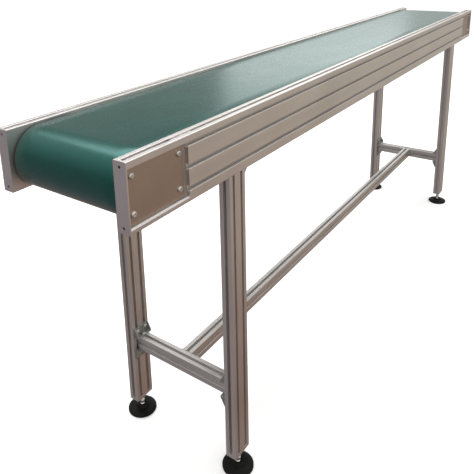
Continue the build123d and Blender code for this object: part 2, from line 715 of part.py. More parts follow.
def foot_base(x, y):
    """Round foot with a domed top and a socket for the ball of the stem."""
    r = FOOT_BASE_RADIUS
    rim = Polyline((0, 0), (r - 2, 0), (r, 2), (r, 6))
    hub_foot = (FOOT_HUB_RADIUS + 3, FOOT_HUB_HEIGHT - 5)
    dome = ThreePointArc((r, 6), (r - 8, 10.5), hub_foot)
    hub_top = (FOOT_HUB_RADIUS, FOOT_HUB_HEIGHT)
    hub = Polyline(hub_foot, hub_top, (0, FOOT_HUB_HEIGHT), (0, 0))
    half_section = make_face(Wire([*rim.edges(), *dome.edges(), *hub.edges()]))
    base = revolve(Plane.XZ * half_section, Axis.Z)
    base -= Pos(0, 0, BALL_Z) * Sphere(BALL_RADIUS + BALL_GAP)
    return Pos(x, y, 0) * base


def foot_stem(x, y):
    """Threaded stem with a ball at its lower end and a spanner hexagon above it."""
    base = (Align.CENTER, Align.CENTER, Align.MIN)
    hex_from, hex_to = STEM_HEX_LEVELS
    stem = Pos(0, 0, BALL_Z) * Sphere(BALL_RADIUS)
    stem += Pos(0, 0, BALL_Z) * Cylinder(STEM_NECK_RADIUS, hex_from + 1 - BALL_Z, align=base)
    hexagon = RegularPolygon(STEM_HEX / 2, 6, major_radius=False)
    stem += Pos(0, 0, hex_from) * extrude(hexagon, hex_to - hex_from)
    thread = Pos(0, 0, hex_to) * Cylinder(STEM_RADIUS, STEM_TOP - hex_to, align=base)
    thread = chamfer(thread.edges().group_by(Axis.Z)[-1], 1)
    return Pos(x, y, 0) * (stem + thread)


def foot_lock_nuts():
    nut = extrude(RegularPolygon(LOCK_NUT_HEX / 2, 6, major_radius=False), LOCK_NUT_HEIGHT)
    nut -= Cylinder(STEM_RADIUS + 0.06, 4 * LOCK_NUT_HEIGHT)
    level = FOOT_HEIGHT - LOCK_NUT_HEIGHT - 0.1
    return [Pos(x, y, level) * nut for x, y in leg_places()]


def write(name, shapes):
    """Write one node: one solid, or a group of separate solids."""
    if isinstance(shapes, list):
        shapes = Compound(children=[Part(shape.wrapped) for shape in shapes])
    export_step(shapes, f"parts/{name}.step")


os.makedirs("parts", exist_ok=True)

for side_name in SIDES:
    write(f"side_rail_{side_name}", side_rail(side_name))
    write(f"takeup_block_{side_name}", at_corner(takeup_block(), "tail", side_name))
    write(f"takeup_screw_{side_name}", at_corner(takeup_screw(), "tail", side_name))
    for end_name in ENDS:
        corner_name = f"{end_name}_{side_name}"
        leg_place = (ENDS[end_name] * LEG_X, SIDES[side_name] * RAIL_Y)
        write(f"end_block_{corner_name}", at_corner(end_block(), end_name, side_name))
        write(f"cover_plate_{corner_name}", at_corner(cover_plate(), end_name, side_name))
        write(f"leg_{corner_name}", leg(end_name, side_name))
        write(f"foot_base_{corner_name}", foot_base(*leg_place))
        write(f"foot_stem_{corner_name}", foot_stem(*leg_place))

write("cover_plate_screws", cover_plate_screws())
write("joiner_bars", joiner_bars())
write("joiner_grub_screws", joiner_grub_screws())

write("belt", belt())
write("slider_bed", slider_bed())
for number, member_x in enumerate(CROSS_MEMBER_X, start=1):
    write(f"cross_member_{number}", cross_member(member_x))
write("cross_member_bolts", cross_member_bolts())

write("tail_drum", tail_drum())
write("tail_axle", drum_axle(-DRUM_X))
write("tail_bearings", drum_bearings(-DRUM_X))
write("drive_drum_shell", drum_tube(DRUM_X))
write("drive_drum_end_caps", [drum_end_disc(sy, DRUM_X) for sy in (-1, 1)])
write("drive_bearings", drum_bearings(DRUM_X))
write("drive_shaft", drum_axle(DRUM_X))
write("drive_motor_unit", drive_motor_unit())
write("shaft_holders", [at_corner(shaft_holder(), "drive", side) for side in SIDES])
write("shaft_holder_screws", shaft_holder_screws())

for end_name, end_sign in ENDS.items():
    write(f"return_roller_{end_name}", return_roller(end_sign * RETURN_ROLLER_X))
    write(f"crossbar_{end_name}", crossbar(end_name))
write("return_roller_axles", [return_roller_axle(x) for x in (-RETURN_ROLLER_X, RETURN_ROLLER_X)])
write("return_roller_bearings", return_roller_bearings())
write("return_roller_brackets", return_roller_brackets())

write("stringer", stringer())
write("small_brackets", small_brackets())
write("wide_brackets", wide_brackets())
slot_seats = rail_inner_seats() + bracket_seats()
write("slot_screws", screws_at(slot_seats))
write("slot_nuts", nuts_at(slot_seats))
write("leg_end_plates", leg_end_plates())
write("leg_end_plate_screws", leg_end_plate_screws())
write("foot_lock_nuts", foot_lock_nuts())
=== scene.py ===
import json
import math

import bmesh
import bpy
from mathutils import Matrix, Vector

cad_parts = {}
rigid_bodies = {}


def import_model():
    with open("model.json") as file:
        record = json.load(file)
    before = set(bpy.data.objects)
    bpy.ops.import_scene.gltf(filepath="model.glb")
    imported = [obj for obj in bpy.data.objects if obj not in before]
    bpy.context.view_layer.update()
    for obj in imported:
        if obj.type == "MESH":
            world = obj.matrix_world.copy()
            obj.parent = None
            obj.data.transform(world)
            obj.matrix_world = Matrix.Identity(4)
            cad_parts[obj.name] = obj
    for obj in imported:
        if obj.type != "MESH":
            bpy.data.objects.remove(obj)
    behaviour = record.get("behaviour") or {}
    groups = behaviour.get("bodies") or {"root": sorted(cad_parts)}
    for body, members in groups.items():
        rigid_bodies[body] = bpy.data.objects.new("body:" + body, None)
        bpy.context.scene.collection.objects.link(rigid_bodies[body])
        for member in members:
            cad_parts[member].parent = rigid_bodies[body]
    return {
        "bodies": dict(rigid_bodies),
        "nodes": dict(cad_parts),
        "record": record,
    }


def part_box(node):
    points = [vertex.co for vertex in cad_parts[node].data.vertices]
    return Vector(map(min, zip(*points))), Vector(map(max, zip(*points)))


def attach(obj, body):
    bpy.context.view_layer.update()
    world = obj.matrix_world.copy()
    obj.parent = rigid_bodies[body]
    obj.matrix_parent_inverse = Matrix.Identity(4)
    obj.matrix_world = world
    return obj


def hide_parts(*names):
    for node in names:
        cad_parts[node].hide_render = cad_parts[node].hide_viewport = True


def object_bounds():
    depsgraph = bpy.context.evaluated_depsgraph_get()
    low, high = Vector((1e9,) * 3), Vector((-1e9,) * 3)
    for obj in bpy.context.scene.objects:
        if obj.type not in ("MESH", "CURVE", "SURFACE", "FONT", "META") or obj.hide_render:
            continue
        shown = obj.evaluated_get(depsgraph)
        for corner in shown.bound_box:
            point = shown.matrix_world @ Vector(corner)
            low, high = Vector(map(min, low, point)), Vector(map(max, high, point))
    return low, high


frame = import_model()
cad_low, cad_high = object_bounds()
NODES = frame["nodes"]

# Metres, as everywhere in this file.
BELT_HALF_WIDTH = 0.145
BELT_THICKNESS = 0.002
PLY_EDGE = 0.0008
ROLL_INSIDE = 0.065
ROLLER_GAP = 0.0003
LEVEL_BY_DRUM = 0.020
FLOOR_GAP = 0.0002


# ---------------------------------------------------------------- shader helpers

class Surface:
    """A node material built up step by step round one Principled shader."""

    def __init__(self, name, metallic=0.0, **fixed):
        self.material = bpy.data.materials.new(name)
        self.material.use_nodes = True
        self.tree = self.material.node_tree
        self.shader = self.tree.nodes["Principled BSDF"]
        self.shader.inputs["Metallic"].default_value = metallic
        for socket, value in fixed.items():
            self.shader.inputs[socket.replace("_", " ")].default_value = value
        self.coordinates = self.tree.nodes.new("ShaderNodeTexCoord")

    def node(self, kind, **settings):
        made = self.tree.nodes.new(kind)
        for key, value in settings.items():
            setattr(made, key, value)
        return made

    def link(self, source, target):
        self.tree.links.new(source, target)
        return target

    def place(self, scale, space="Object", turn=(0, 0, 0)):
        """Coordinates in metres, multiplied by scale along each axis."""
        mapping = self.node("ShaderNodeMapping")
        mapping.inputs["Scale"].default_value = scale
        mapping.inputs["Rotation"].default_value = turn
        self.link(self.coordinates.outputs[space], mapping.inputs["Vector"])
        return mapping.outputs["Vector"]

    def noise(self, scale, detail=3.0, rough=0.5, space="Object"):
        made = self.node("ShaderNodeTexNoise")
        made.inputs["Scale"].default_value = 1.0
        made.inputs["Detail"].default_value = detail
        made.inputs["Roughness"].default_value = rough
        self.link(self.place(scale, space), made.inputs["Vector"])
        return made.outputs["Fac"]

    def remap(self, value, low, high, to_low, to_high):
        made = self.node("ShaderNodeMapRange")
        sockets = ("From Min", "From Max", "To Min", "To Max")
        for socket, number in zip(sockets, (low, high, to_low, to_high)):
            made.inputs[socket].default_value = number
        self.link(value, made.inputs["Value"])
        return made.outputs["Result"]

    def maths(self, operation, a, b):
        made = self.node("ShaderNodeMath", operation=operation)
        for socket, value in zip(made.inputs, (a, b)):
            if isinstance(value, (int, float)):
                socket.default_value = value
            else:
                self.link(value, socket)
        return made.outputs["Value"]

    def blend(self, factor, first, second, mode="MIX"):
        made = self.node("ShaderNodeMix", data_type="RGBA", blend_type=mode)
        sockets = {"Factor": factor, "A": first, "B": second}
        for socket in made.inputs:
            value = sockets.get(socket.name)
            if value is None or (socket.name != "Factor" and socket.type != "RGBA"):
                continue
            if socket.name == "Factor" and socket.type != "VALUE":
                continue
            if isinstance(value, (int, float)):
                socket.default_value = value
            elif isinstance(value, tuple):
                socket.default_value = (*value, 1.0)
            else:
                self.link(value, socket)
        return made.outputs["Result"] if made.outputs[0].type == "RGBA" else made.outputs[2]

    def edge_mask(self, radius):
        """A mask, 1 along edges and 0 on the flats, and the normal with the edges rounded."""
        rounded = self.node("ShaderNodeBevel", samples=4)
        rounded.inputs["Radius"].default_value = radius
        flat = self.node("ShaderNodeNewGeometry")
        dot = self.node("ShaderNodeVectorMath", operation="DOT_PRODUCT")
        self.link(rounded.outputs["Normal"], dot.inputs[0])
        self.link(flat.outputs["Normal"], dot.inputs[1])
        return self.remap(dot.outputs["Value"], 0.995, 0.85, 0.0, 1.0), rounded.outputs["Normal"]

    def bump(self, height, distance, strength=1.0, normal=None):
        made = self.node("ShaderNodeBump")
        made.inputs["Distance"].default_value = distance
        made.inputs["Strength"].default_value = strength
        self.link(height, made.inputs["Height"])
        if normal is not None:
            self.link(normal, made.inputs["Normal"])
        return made.outputs["Normal"]

    def colour(self, value):
        self.link(value, self.shader.inputs["Base Color"])

    def roughness(self, value):
        self.link(value, self.shader.inputs["Roughness"])

    def normal(self, value):
        self.link(value, self.shader.inputs["Normal"])


def scaled(colour, factor):
    return tuple(min(1.0, channel * factor) for channel in colour)


def stretched(fine, along, long_scale=3.0):
    """Texture scale that draws lines along one axis."""
    return tuple(long_scale if axis == along else fine for axis in "XYZ")


def extruded_aluminium(name, along, tone=(0.66, 0.635, 0.61)):
    """Satin anodised profile: die lines along the bar, a fine grain, and edges painted lighter as
    a painted highlight, partly edge wear.
    """
    s = Surface(name, metallic=1.0)
    lines = s.noise(stretched(700.0, along), detail=4.0, rough=0.65)
    broad = s.noise(stretched(45.0, along, 1.2), detail=2.0)
    cloud = s.noise((5.0, 5.0, 5.0), detail=4.0)
    grain = s.noise((2600.0, 2600.0, 2600.0), detail=1.0)
    edge, rounded = s.edge_mask(0.0007)
    body = s.blend(s.remap(cloud, 0.3, 0.7, 0.0, 1.0), scaled(tone, 0.93), scaled(tone, 1.06))
    body = s.blend(s.remap(broad, 0.35, 0.65, 0.0, 0.35), body, scaled(tone, 0.86))
    body = s.blend(s.remap(lines, 0.35, 0.75, 0.0, 0.22), body, scaled(tone, 0.80))
    # Lighter along the edges: a painted edge highlight, partly edge wear as well.
    s.colour(s.blend(s.maths("MULTIPLY", edge, 0.75), body, (0.86, 0.84, 0.80)))
    base_rough = s.remap(lines, 0.3, 0.7, 0.36, 0.47)
    base_rough = s.maths("ADD", base_rough, s.remap(cloud, 0.3, 0.7, -0.03, 0.04))
    s.roughness(s.maths("SUBTRACT", base_rough, s.maths("MULTIPLY", edge, 0.12)))
    fine = s.bump(grain, 0.000012, 0.5, rounded)
    s.normal(s.bump(lines, 0.00003, 0.45, fine))
    return s.material


def machined_aluminium(name, along="X", tone=(0.64, 0.61, 0.60)):
    """Milled and anodised plate: short brushed lines, a warmer tone and small handling marks."""
    s = Surface(name, metallic=1.0)
    lines = s.noise(stretched(900.0, along, 26.0), detail=5.0, rough=0.7)
    cloud = s.noise((9.0, 9.0, 9.0), detail=5.0, rough=0.6)
    marks = s.node("ShaderNodeTexVoronoi", feature="DISTANCE_TO_EDGE")
    marks.inputs["Scale"].default_value = 1.0
    s.link(s.place(stretched(60.0, along, 18.0)), marks.inputs["Vector"])
    scratch = s.remap(marks.outputs["Distance"], 0.0, 0.006, 1.0, 0.0)
    scratch = s.maths("MULTIPLY", scratch, s.remap(cloud, 0.55, 0.7, 0.0, 0.5))
    edge, rounded = s.edge_mask(0.0006)
    body = s.blend(s.remap(cloud, 0.3, 0.7, 0.0, 1.0), scaled(tone, 0.92), scaled(tone, 1.07))
    body = s.blend(s.remap(lines, 0.35, 0.7, 0.0, 0.3), body, scaled(tone, 0.80))
    body = s.blend(scratch, body, scaled(tone, 1.3))
    # Lighter along the edges: a painted edge highlight, partly edge wear as well.
    s.colour(s.blend(s.maths("MULTIPLY", edge, 0.8), body, (0.84, 0.80, 0.76)))
    rough = s.remap(lines, 0.3, 0.7, 0.38, 0.5)
    s.roughness(s.maths("SUBTRACT", rough, s.maths("MULTIPLY", edge, 0.12)))
    s.normal(s.bump(lines, 0.00004, 0.5, rounded))
    return s.material


def turned_steel(name, tone=(0.56, 0.56, 0.56)):
    """Turned steel: fine tool rings round the Y axis and a thin film of grey."""
    s = Surface(name, metallic=1.0)
    rings = s.noise(stretched(6.0, "Y", 1400.0), detail=3.0, rough=0.6)
    cloud = s.noise((30.0, 30.0, 30.0), detail=4.0)
    edge, rounded = s.edge_mask(0.0005)
    body = s.blend(s.remap(cloud, 0.3, 0.7, 0.0, 1.0), scaled(tone, 0.85), scaled(tone, 1.1))
    body = s.blend(s.remap(rings, 0.35, 0.7, 0.0, 0.35), body, scaled(tone, 0.7))
    # Lighter along the edges: a painted edge highlight, partly edge wear as well.
    s.colour(s.blend(s.maths("MULTIPLY", edge, 0.6), body, (0.85, 0.85, 0.84)))
    s.roughness(s.remap(rings, 0.3, 0.7, 0.24, 0.4))
    s.normal(s.bump(rings, 0.00003, 0.4, rounded))
    return s.material


def zinc(name, tone=(0.66, 0.66, 0.63), spangle=900.0):
    """Bright zinc plate with a fine crystalline mottle."""
    s = Surface(name, metallic=1.0)
    cells = s.node("ShaderNodeTexVoronoi")
    cells.inputs["Scale"].default_value = 1.0
    s.link(s.place((spangle, spangle, spangle)), cells.inputs["Vector"])
    cloud = s.noise((120.0, 120.0, 120.0), detail=4.0)
    edge, rounded = s.edge_mask(0.0004)
    body = s.blend(s.remap(cloud, 0.3, 0.7, 0.0, 1.0), scaled(tone, 0.86), scaled(tone, 1.12))
    mottle = s.remap(cells.outputs["Distance"], 0.0, 1.0, 0.0, 0.25)
    body = s.blend(mottle, body, scaled(tone, 0.75))
    # Lighter along the edges: a painted edge highlight, partly edge wear as well.
    s.colour(s.blend(s.maths("MULTIPLY", edge, 0.6), body, (0.9, 0.9, 0.88)))
    s.roughness(s.remap(cloud, 0.3, 0.7, 0.22, 0.36))
    s.normal(s.bump(cloud, 0.00004, 0.4, rounded))
    return s.material


def cast_aluminium(name, tone=(0.38, 0.39, 0.365)):
    """Die-cast and tumbled brackets: a matt skin with fine pits, and lighter edges that are a
    painted highlight as well as rubbed edges.
    """
    s = Surface(name, metallic=1.0)
    pits = s.noise((1500.0, 1500.0, 1500.0), detail=3.0, rough=0.7)
    cloud = s.noise((60.0, 60.0, 60.0), detail=4.0)
    edge, rounded = s.edge_mask(0.0009)
    body = s.blend(s.remap(cloud, 0.3, 0.7, 0.0, 1.0), scaled(tone, 0.85), scaled(tone, 1.12))
    # Lighter along the edges: a painted edge highlight, partly rubbed edges as well.
    s.colour(s.blend(s.maths("MULTIPLY", edge, 0.7), body, (0.80, 0.80, 0.77)))
    s.roughness(s.remap(pits, 0.3, 0.7, 0.45, 0.62))
    s.normal(s.bump(pits, 0.00008, 0.6, rounded))
    return s.material


def moulded_plastic(name, tone=(0.005, 0.005, 0.0045)):
    """Black glass-filled nylon: spark-eroded grain, dust in the hollows, and lighter edges that
    are a painted highlight as well as polished edges.
    """
    s = Surface(name, IOR=1.52, Specular_IOR_Level=0.12)
    grain = s.noise((1800.0, 1800.0, 1800.0), detail=2.0)
    cloud = s.noise((40.0, 40.0, 40.0), detail=5.0, rough=0.6)
    edge, rounded = s.edge_mask(0.0008)
    body = s.blend(s.remap(cloud, 0.45, 0.75, 0.0, 0.4), tone, (0.012, 0.011, 0.010))
    # Lighter along the edges: a painted edge highlight, partly polished edges as well.
    s.colour(s.blend(s.maths("MULTIPLY", edge, 0.5), body, (0.03, 0.03, 0.029)))
    s.roughness(s.remap(cloud, 0.3, 0.7, 0.42, 0.6))
    s.normal(s.bump(grain, 0.0001, 0.5, rounded))
    return s.material


def painted_housing(name, tone=(0.045, 0.05, 0.055)):
    """Dark paint with orange peel, and lighter edges that are a painted highlight as well as paint
    rubbed at the edges.
    """
    s = Surface(name, IOR=1.5, Coat_Weight=0.2, Coat_Roughness=0.2)
    peel = s.noise((700.0, 700.0, 700.0), detail=2.0)
    cloud = s.noise((25.0, 25.0, 25.0), detail=4.0)
    edge, rounded = s.edge_mask(0.0009)
    body = s.blend(s.remap(cloud, 0.3, 0.7, 0.0, 1.0), scaled(tone, 0.8), scaled(tone, 1.25))
    # Lighter along the edges: a painted edge highlight, partly paint rubbed at the edges as well.
    s.colour(s.blend(s.maths("MULTIPLY", edge, 0.6), body, (0.3, 0.3, 0.3)))
    s.roughness(s.remap(cloud, 0.3, 0.7, 0.35, 0.5))
    s.normal(s.bump(peel, 0.00006, 0.5, rounded))
    return s.material


def belt_cover(name, tone=(0.003, 0.035, 0.026)):
    """Green PVC cover: faint calender grain, weak long rub marks, a little dust at the edges."""
    gloss = {"Specular_IOR_Level": 0.8, "Specular_Tint": (0.30, 1.0, 0.94, 1.0)}
    s = Surface(name, IOR=1.5, Sheen_Weight=0.12, Sheen_Roughness=0.3, **gloss)
    rub = s.noise((1.6, 130.0, 1.0), detail=5.0, rough=0.62, space="UV")
    cloud = s.noise((7.0, 9.0, 1.0), detail=4.0, space="UV")
    grain = s.noise((1500.0, 1500.0, 1.0), detail=2.0, space="UV")
    wave = s.noise((22.0, 14.0, 1.0), detail=1.0, space="UV")
    split = s.node("ShaderNodeSeparateXYZ")
    s.link(s.coordinates.outputs["UV"], split.inputs["Vector"])
    off_centre = s.maths("ABSOLUTE", s.maths("SUBTRACT", split.outputs["Y"], BELT_HALF_WIDTH), 0.0)
    border = s.remap(off_centre, 0.128, BELT_HALF_WIDTH, 0.0, 1.0)
    body = s.blend(s.remap(cloud, 0.3, 0.7, 0.0, 1.0), scaled(tone, 0.88), scaled(tone, 1.12))
    body = s.blend(s.remap(rub, 0.5, 0.8, 0.0, 0.03), body, (0.03, 0.10, 0.08))
    dusty = s.maths("MULTIPLY", border, s.remap(rub, 0.3, 0.7, 0.02, 0.07))
    s.colour(s.blend(dusty, body, (0.08, 0.14, 0.12)))
    rough = s.remap(rub, 0.3, 0.7, 0.262, 0.278)
    s.roughness(s.maths("ADD", rough, s.remap(cloud, 0.3, 0.7, -0.012, 0.016)))
    s.normal(s.bump(wave, 0.0004, 0.05, s.bump(grain, 0.00005, 0.15)))
    return s.material


def belt_ply(name, tone=(0.42, 0.42, 0.38)):
    """Polyester fabric on the running side of the belt, woven square."""
    s = Surface(name, IOR=1.45, Sheen_Weight=0.3)
    threads = []
    for scale in ((1100.0, 0.0, 0.0), (0.0, 1100.0, 0.0)):
        wave = s.node("ShaderNodeTexWave", bands_direction="DIAGONAL", wave_profile="SIN")
        wave.inputs["Scale"].default_value = 1.0
        wave.inputs["Distortion"].default_value = 0.6
        s.link(s.place(scale, "UV"), wave.inputs["Vector"])
        threads.append(wave.outputs["Fac"])
    weave = s.maths("MULTIPLY", threads[0], threads[1])
    cloud = s.noise((12.0, 30.0, 1.0), detail=4.0, space="UV")
    body = s.blend(s.remap(weave, 0.0, 0.8, 0.0, 1.0), scaled(tone, 0.7), scaled(tone, 1.1))
    s.colour(s.blend(s.remap(cloud, 0.4, 0.7, 0.0, 0.4), body, (0.2, 0.2, 0.19)))
    s.roughness(s.remap(cloud, 0.3, 0.7, 0.75, 0.92))
    s.normal(s.bump(weave, 0.00012, 0.6))
    return s.material


def pale_floor(name):
    """Near-white floor with a weak glow, so that it fades into the plain background."""
    glow = {"Emission_Color": (1.0, 1.0, 1.0, 1.0), "Emission_Strength": 0.26}
    s = Surface(name, Specular_IOR_Level=0.1, **glow)
    cloud = s.noise((1.5, 1.5, 1.5), detail=3.0)
    s.colour(s.blend(s.remap(cloud, 0.3, 0.7, 0.0, 1.0), (0.90, 0.90, 0.895), (0.93, 0.93, 0.925)))
    s.roughness(s.remap(cloud, 0.3, 0.7, 0.75, 0.9))
    return s.material


# ---------------------------------------------------------------- materials on the CAD nodes

PROFILE = {axis: extruded_aluminium(f"anodised_profile_{axis}", axis) for axis in "XYZ"}
BLOCK = machined_aluminium("machined_aluminium")
COVER = machined_aluminium("cover_plate_aluminium", "X", (0.42, 0.345, 0.29))
SHEET = zinc("galvanised_sheet", (0.55, 0.56, 0.56), 140.0)
TURNED = turned_steel("turned_steel")
ZINC = zinc("zinc_fasteners")
CAST = cast_aluminium("cast_brackets")
NYLON = moulded_plastic("foot_nylon")
MOTOR = painted_housing("motor_paint")
BELT_GREEN = belt_cover("belt_green_cover")
BELT_PLY = belt_ply("belt_fabric_ply")

BY_SLOT = {
    "machined_aluminium": BLOCK,
    "steel_sheet": SHEET,
    "turned_steel": TURNED,
    "zinc_fasteners": ZINC,
    "cast_brackets": CAST,
    "foot_plastic": NYLON,
    "motor_housing": MOTOR,
    "belt_green": BELT_GREEN,
}


def bar_axis(node):
    """The axis a profile bar was extruded along: its longest side."""
    low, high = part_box(node)
    size = high - low
    return "XYZ"[max(range(3), key=lambda i: size[i])]


def set_material(thing, material):
    if not thing.material_slots:
        thing.data.materials.append(material)
    for place in thing.material_slots:
        place.material = material


for part in frame["record"]["subparts"]:
    node = part["node"]
    if part["material_slot"] == "anodised_profile":
        set_material(NODES[node], PROFILE[bar_axis(node)])
    elif node.startswith("cover_plate_") and node != "cover_plate_screws":
        set_material(NODES[node], COVER)
    else:
        set_material(NODES[node], BY_SLOT[part["material_slot"]])


# ---------------------------------------------------------------- new pieces

def new_object(name, bm, *materials):
    mesh = bpy.data.meshes.new(name)
    bm.to_mesh(mesh)
    bm.free()
    for material in materials:
        mesh.materials.append(material)
    made = bpy.data.objects.new(name, mesh)
    bpy.context.scene.collection.objects.link(made)
    return made


def belt_path():
    """Points and outward normals of the belt's inner face, once round, in X and Z."""
    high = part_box("belt")[1]
    radius = ROLL_INSIDE
    reach = high.x - BELT_THICKNESS - radius
    axle = high.z - BELT_THICKNESS - radius
    roller_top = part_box("return_roller_drive")[1].z
    roller_x = sum(corner.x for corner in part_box("return_roller_drive")) / 2
    lifted = roller_top + ROLLER_GAP + BELT_THICKNESS
    level_end = reach - LEVEL_BY_DRUM
    bottom = axle - radius
    points = []

    def run(x0, z0, x1, z1, steps, normal):
        for i in range(steps):
            t = i / steps
            points.append(((x0 + (x1 - x0) * t, z0 + (z1 - z0) * t), normal))

    def bend(cx, start, steps):
        for i in range(steps):
            a = start - math.pi * i / steps
            nx, nz = math.cos(a), math.sin(a)
            points.append(((cx + radius * nx, axle + radius * nz), (nx, nz)))

    rise = Vector((level_end - roller_x, lifted - bottom)).normalized()
    run(-reach, axle + radius, reach, axle + radius, 96, (0, 1))
    bend(reach, math.pi / 2, 56)
    run(reach, bottom, level_end, bottom, 4, (0, -1))
    run(level_end, bottom, roller_x, lifted, 24, (-rise.y, -rise.x))
    run(roller_x, lifted, -roller_x, lifted, 48, (0, -1))
    run(-roller_x, lifted, -level_end, bottom, 24, (rise.y, -rise.x))
    run(-level_end, bottom, -reach, bottom, 4, (0, -1))
    bend(-reach, -math.pi / 2, 56)
    return points


def belt_section(half):
    """Closed outline of the belt's cross-section: Y, height over the inner face, material."""
    t = BELT_THICKNESS
    r = 0.00035
    fray, inset = 0.0002, 0.0003
    green, ply = 0, 1
    outline = [(-half + r, t, green)]
    for i in range(1, 8):
        outline.append((-half + r + (2 * half - 2 * r) * i / 8, t, green))
    outline += [(half - r, t, green), (half - 0.3 * r, t - 0.3 * r, green), (half, t - r, green)]
    outline += [(half, PLY_EDGE, ply), (half, fray, ply), (half - inset, 0.0, ply)]
    for i in range(7, 0, -1):
        outline.append((-half + 2 * half * i / 8, 0.0, ply))
    outline += [(-half + inset, 0.0, ply), (-half, fray, ply), (-half, PLY_EDGE, green)]
    outline += [(-half, t - r, green), (-half + 0.3 * r, t - 0.3 * r, green)]
    return outline


def make_belt():
    """The belt as a green cover on a fabric ply, both showing at its cut edges."""
    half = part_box("belt")[1].y
    path = belt_path()
    section = belt_section(half)
    bm = bmesh.new()
    uv = bm.loops.layers.uv.new("UVMap")
    lengths = [0.0]
    for (a, _), (b, _) in zip(path, path[1:] + path[:1]):
        lengths.append(lengths[-1] + math.hypot(b[0] - a[0], b[1] - a[1]))
    rings = []
    for (x, z), (nx, nz) in path:
        rings.append([bm.verts.new((x + nx * h, y, z + nz * h)) for y, h, _ in section])
    count = len(section)
    for i in range(len(rings)):
        here, there = rings[i], rings[(i + 1) % len(rings)]
        for j in range(count):
            k = (j + 1) % count
            face = bm.faces.new((here[j], there[j], there[k], here[k]))
            face.material_index = section[j][2]
            face.smooth = True
            along = (lengths[i], lengths[i + 1], lengths[i + 1], lengths[i])
            across = (section[j][0], section[j][0], section[k][0], section[k][0])
            for loop, u, v in zip(face.loops, along, across):
                loop[uv].uv = (u, v + BELT_HALF_WIDTH)
    bmesh.ops.recalc_face_normals(bm, faces=bm.faces)
    return new_object("belt_cover_and_ply", bm, BELT_GREEN, BELT_PLY)


def make_threaded_stem(name):
    """Foot stem round its own axis, at its real height: ball, neck, hexagon, rolled thread."""
    bm = bmesh.new()
    turns = 24

    def ring(z, radius_at):
        out = []
        for i in range(turns):
            a = 2 * math.pi * i / turns
            r = radius_at(a)
            out.append(bm.verts.new((r * math.cos(a), r * math.sin(a), z)))
        return out

    def join(a, b, smooth=True):
        for i in range(turns):
            j = (i + 1) % turns
            bm.faces.new((a[i], a[j], b[j], b[i])).smooth = smooth

    def hexagon(across):
        def radius_at(a):
            local = (a + math.pi / 6) % (math.pi / 3) - math.pi / 6
            return across / 2 / math.cos(local)
        return radius_at

    def capped(limit, shape):
        return lambda a: min(limit, shape(a))

    ball, ball_z, neck = 0.008, 0.013, 0.0045
    levels = []
    for i in range(1, 12):
        a = -math.pi / 2 + (math.pi / 2 + 0.97) * i / 11
        levels.append((ball_z + ball * math.sin(a), lambda _, r=ball * math.cos(a): r))
    levels.append((0.0225, lambda _: neck))
    hexagon_start = 0.0226
    hexa = hexagon(0.014)
    levels += [(0.0230, capped(0.0068, hexa)), (0.0236, capped(0.0076, hexa)), (0.0239, hexa)]
    levels += [(0.0291, hexa), (0.0294, capped(0.0076, hexa)), (0.0300, capped(0.0068, hexa))]
    pitch, root, crest, top = 0.00175, 0.0051, 0.0060, 0.105
    run_in, run_out = 0.002, 0.0015
    z = thread_start = 0.0301
    steps = 6
    while z < top:
        ease = min(1.0, (z - 0.030) / run_in, (top - z) / run_out + 0.25)

        def thread(a, z=z, ease=max(0.0, ease)):
            phase = (z / pitch - a / (2 * math.pi)) % 1.0
            wave = 1 - abs(2 * phase - 1)
            return root + (crest - root) * min(1.0, wave * 1.25) * ease

        levels.append((z, thread))
        z += pitch / steps
    first = ring(*levels[0])
    bottom = bm.verts.new((0, 0, ball_z - ball))
    for i in range(turns):
        bm.faces.new((bottom, first[(i + 1) % turns], first[i])).smooth = True
    previous = first
    for z, shape in levels[1:]:
        current = ring(z, shape)
        join(previous, current, smooth=not hexagon_start < z < thread_start)
        previous = current
    bm.faces.new(previous)
    bmesh.ops.recalc_face_normals(bm, faces=bm.faces)
    return new_object(name, bm, ZINC)


belt_piece = make_belt()
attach(belt_piece, "frame")
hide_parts("belt")

for body in frame["bodies"]:
    if body.startswith("foot_stem_"):
        low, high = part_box(body)
        stem = make_threaded_stem("threaded_" + body)
        stem.location = ((low.x + high.x) / 2, (low.y + high.y) / 2, 0)
        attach(stem, body)
        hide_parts(body)


# ---------------------------------------------------------------- floor, light and camera

